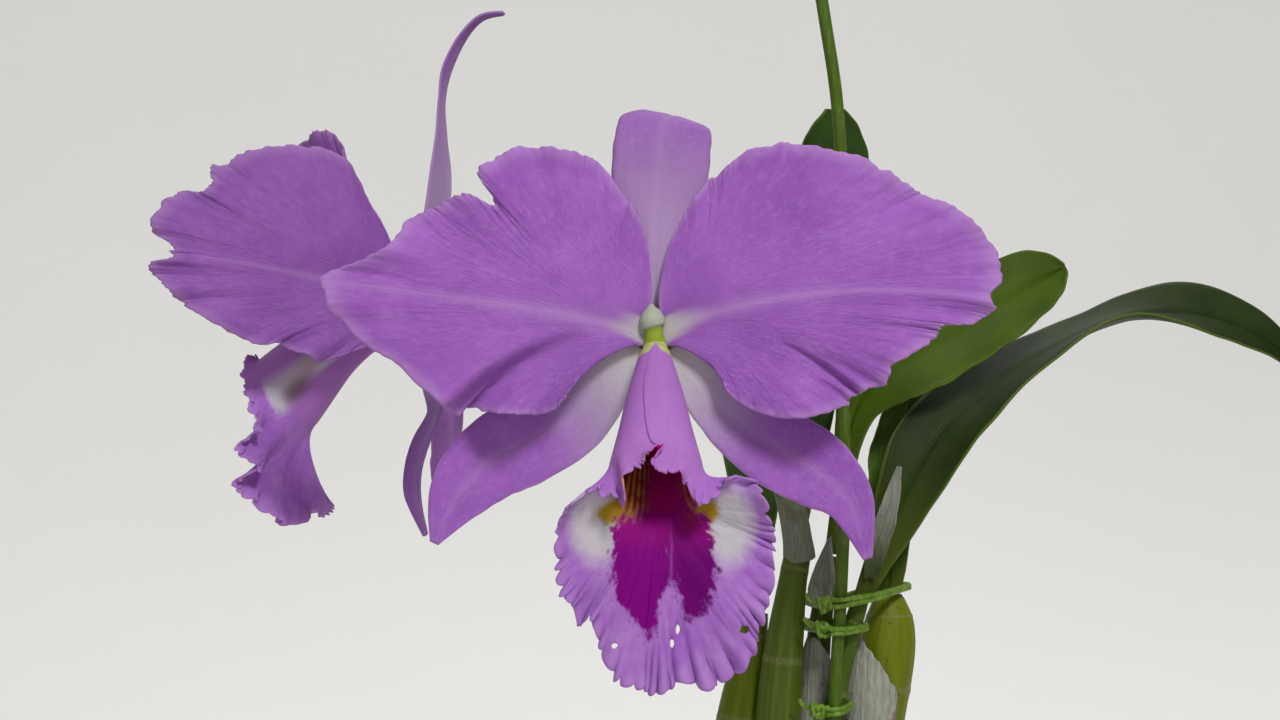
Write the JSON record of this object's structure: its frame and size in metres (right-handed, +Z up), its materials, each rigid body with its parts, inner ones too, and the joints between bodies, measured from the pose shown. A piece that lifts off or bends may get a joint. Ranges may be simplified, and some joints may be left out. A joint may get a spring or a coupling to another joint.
{
  "type": "cattleya orchid in a pot",
  "caption": "Potted cattleya orchid in bloom: lilac flowers with a ruffled lip, long leaves on pseudobulbs, and a stake with ties in a clay pot.",
  "frame": {"origin": "middle of the pot's underside, on the surface that the pot stands on", "axes": "+Z up, along the stake and the pot's axis; the front flower looks along -Y; the leaves reach along +X and the second flower along -X"},
  "size_m": [0.3269, 0.2068, 0.4682],
  "materials": {
    "petal": "soft lilac petal, crystalline, pale along the midrib and at the claw",
    "lip": "lilac ruffled lip with a magenta blotch, cream side patches and a yellow throat with dark veins",
    "column_wax": "waxy white, greenish at its foot",
    "flower_stalk": "pale green, flushed with lilac",
    "leaf": "leathery green, satin, with a sunken midrib",
    "pseudobulb": "olive to yellow-green, with faint ribs and ring scars",
    "dry_sheath": "dry grey-white papery skin with fine ribs",
    "rhizome_and_roots": "woody rhizome and roots in a spongy grey-green skin",
    "stake": "fresh green, plastic-coated",
    "tie": "green plastic tie, twisted and knotted",
    "bark": "coarse chips of conifer bark",
    "pot": "unglazed terracotta, lightly weathered"
  },
  "bodies": {
    "root": {"pot": "pot", "bark": "bark", "rhizome_with_roots": "rhizome_and_roots", "pseudobulb_olive": "pseudobulb", "pseudobulb_green": "pseudobulb", "pseudobulb_yellow": "pseudobulb", "pseudobulb_slim_left": "pseudobulb", "pseudobulb_slim_right": "pseudobulb", "leaf_bright": "leaf", "leaf_long": "leaf", "leaf_upright": "leaf", "leaf_hidden": "leaf", "leaf_of_olive_bulb": "leaf", "peduncle": "flower_stalk", "flower_sheath": "dry_sheath", "dry_sheath_olive_bulb": "dry_sheath", "dry_sheath_slim_bulb": "dry_sheath", "dry_sheath_bract": "dry_sheath", "old_flower_sheath": "dry_sheath", "stake": "stake", "tie_upper": "tie", "tie_middle": "tie", "tie_lower": "tie", "flower_1_dorsal_sepal": "petal", "flower_1_left_sepal": "petal", "flower_1_right_sepal": "petal", "flower_1_left_petal": "petal", "flower_1_right_petal": "petal", "flower_1_lip": "lip", "flower_1_column": "column_wax", "flower_1_stalk": "flower_stalk", "flower_2_dorsal_sepal": "petal", "flower_2_left_sepal": "petal", "flower_2_right_sepal": "petal", "flower_2_left_petal": "petal", "flower_2_right_petal": "petal", "flower_2_lip": "lip", "flower_2_column": "column_wax", "flower_2_stalk": "flower_stalk"}
  },
  "joints": []
}
